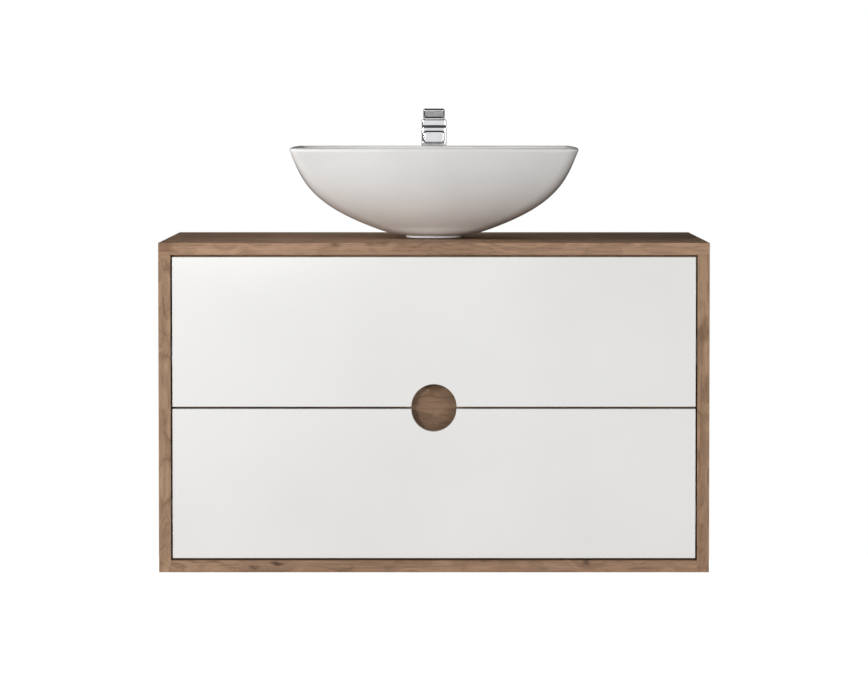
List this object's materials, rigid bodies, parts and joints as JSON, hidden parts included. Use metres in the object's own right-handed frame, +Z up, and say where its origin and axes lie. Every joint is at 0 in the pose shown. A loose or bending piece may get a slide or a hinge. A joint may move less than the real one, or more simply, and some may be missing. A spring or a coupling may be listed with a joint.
{
  "type": "wall-hung vanity with vessel basin",
  "caption": "Wall-hung wood-decor vanity with white drawers sharing a round grip hole, a ceramic vessel basin with waste and trap, and a square lever tap.",
  "frame": {"origin": "on the wall plane, under the middle of the cabinet: x = 0 the centre, y = 0 the wall, z = 0 the cabinet's underside", "axes": "+X to the right seen from the front, +Y into the wall, +Z up; the drawer fronts face -Y"},
  "size_m": [1, 0.545, 0.8429],
  "materials": {
    "wood_decor": "matt oak decor with knots and a fine grain",
    "carcass_board": "matt board",
    "dowel_wood": "bare beech",
    "white_lacquer": "satin white lacquer",
    "drawer_board": "pale grey melamine",
    "zinc_steel": "zinc plated",
    "runner_steel": "zinc plated sheet",
    "ceramic": "gloss white glaze",
    "rubber": "matt",
    "chrome": "polished",
    "brass": "turned",
    "white_plastic": "moulded",
    "grey_plastic": "moulded",
    "black_plastic": "moulded"
  },
  "bodies": {
    "carcass": {"worktop": "wood_decor", "side_panel_left": "wood_decor", "side_panel_right": "wood_decor", "bottom_panel": "wood_decor", "front_rail": "carcass_board", "grip_rail": "wood_decor", "rear_rails": "carcass_board", "cam_locks": "zinc_steel", "cam_bolts": "zinc_steel", "dowels": "dowel_wood", "cabinet_hangers": "zinc_steel", "wall_plates": "zinc_steel", "runner_screws": "zinc_steel", "upper_runner_rails": "runner_steel", "lower_runner_rails": "runner_steel", "basin": "ceramic", "basin_seal": "rubber", "waste_body": "chrome", "waste_seals": "rubber", "waste_nut": "brass", "trap_inlet_tube": "white_plastic", "trap_nuts": "white_plastic", "trap_body": "white_plastic", "trap_cup": "white_plastic", "trap_outlet_pipe": "white_plastic", "wall_rosette": "chrome", "tap_body": "chrome", "tap_aerator": "white_plastic", "tap_base_seal": "rubber", "tap_stud": "zinc_steel", "tap_clamp_seal": "rubber", "tap_clamp_plate": "zinc_steel", "tap_stud_nut": "zinc_steel", "cartridge_body": "grey_plastic", "cartridge_nut": "brass", "spacer_ring": "black_plastic"},
    "upper_drawer": {"upper_drawer_front": "white_lacquer", "upper_box_sides": "drawer_board", "upper_box_front": "drawer_board", "upper_box_backs": "drawer_board", "upper_box_bottom": "drawer_board", "plumbing_well_walls": "drawer_board", "upper_drawer_screws": "zinc_steel", "upper_runner_slides": "runner_steel"},
    "lower_drawer": {"lower_drawer_front": "white_lacquer", "lower_box_sides": "drawer_board", "lower_box_front": "drawer_board", "lower_box_back": "drawer_board", "lower_box_bottom": "drawer_board", "lower_drawer_screws": "zinc_steel", "lower_runner_slides": "runner_steel"},
    "upper_runner_mid": {"upper_runner_middles": "runner_steel"},
    "lower_runner_mid": {"lower_runner_middles": "runner_steel"},
    "cartridge_rotor": {"cartridge_yoke": "grey_plastic", "yoke_pin": "zinc_steel"},
    "tap_handle": {"tap_lever": "chrome", "tap_stem": "grey_plastic", "grub_screw": "zinc_steel", "grub_screw_cap": "chrome"},
    "waste_plug": {"waste_plug": "chrome"}
  },
  "joints": [
    {"name": "upper_drawer_slide", "type": "slide", "parent": "carcass", "child": "upper_drawer", "axis": [0, -1, 0], "range_m": [0, 0.38]},
    {"name": "lower_drawer_slide", "type": "slide", "parent": "carcass", "child": "lower_drawer", "axis": [0, -1, 0], "range_m": [0, 0.38]},
    {"name": "upper_middle_slide", "type": "slide", "parent": "carcass", "child": "upper_runner_mid", "axis": [0, -1, 0], "range_m": [0, 0.19]},
    {"name": "lower_middle_slide", "type": "slide", "parent": "carcass", "child": "lower_runner_mid", "axis": [0, -1, 0], "range_m": [0, 0.19]},
    {"name": "lever_swivel", "type": "hinge", "parent": "carcass", "child": "cartridge_rotor", "pos_m": [0, -0.045, 0.805], "axis": [0, 0, 1], "range_deg": [-40, 40]},
    {"name": "lever_lift", "type": "hinge", "parent": "cartridge_rotor", "child": "tap_handle", "pos_m": [0, -0.045, 0.812], "axis": [-1, 0, 0], "range_deg": [0, 20]},
    {"name": "plug_press", "type": "slide", "parent": "carcass", "child": "waste_plug", "axis": [0, 0, -1], "range_m": [0, 0.009], "stiffness_N_per_m": 300, "springref_m": -0.01}
  ],
  "couplings": [
    {"joint": "upper_middle_slide", "follows": "upper_drawer_slide", "ratio": 0.5},
    {"joint": "lower_middle_slide", "follows": "lower_drawer_slide", "ratio": 0.5}
  ]
}
